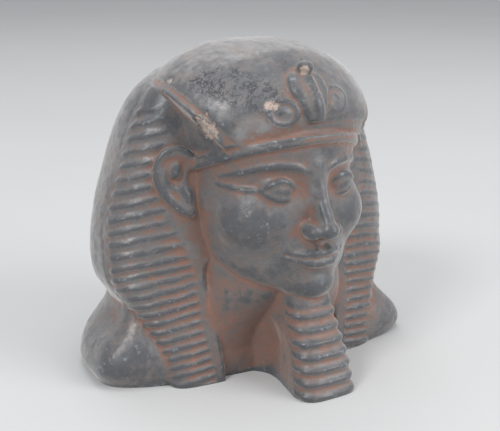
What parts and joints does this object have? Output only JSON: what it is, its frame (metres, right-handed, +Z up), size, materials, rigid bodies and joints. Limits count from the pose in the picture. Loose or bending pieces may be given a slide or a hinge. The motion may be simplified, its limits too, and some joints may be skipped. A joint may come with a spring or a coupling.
{
  "type": "pharaoh bust",
  "caption": "Small dark cast bust of a pharaoh in a striped nemes headdress with cobra, brow band, ears and ribbed ceremonial beard, cut flat below.",
  "frame": {"origin": "on the flat underside, straight below the middle of the headdress", "axes": "+Z up through the crown, -Y the way the face looks, +X towards the figure's left shoulder"},
  "size_m": [0.1302, 0.1007, 0.119],
  "materials": {
    "dark_plaster": "graphite-dark worn cast plaster with red earth in its hollows"
  },
  "bodies": {
    "root": {"pharaoh_bust": "dark_plaster"}
  },
  "joints": []
}
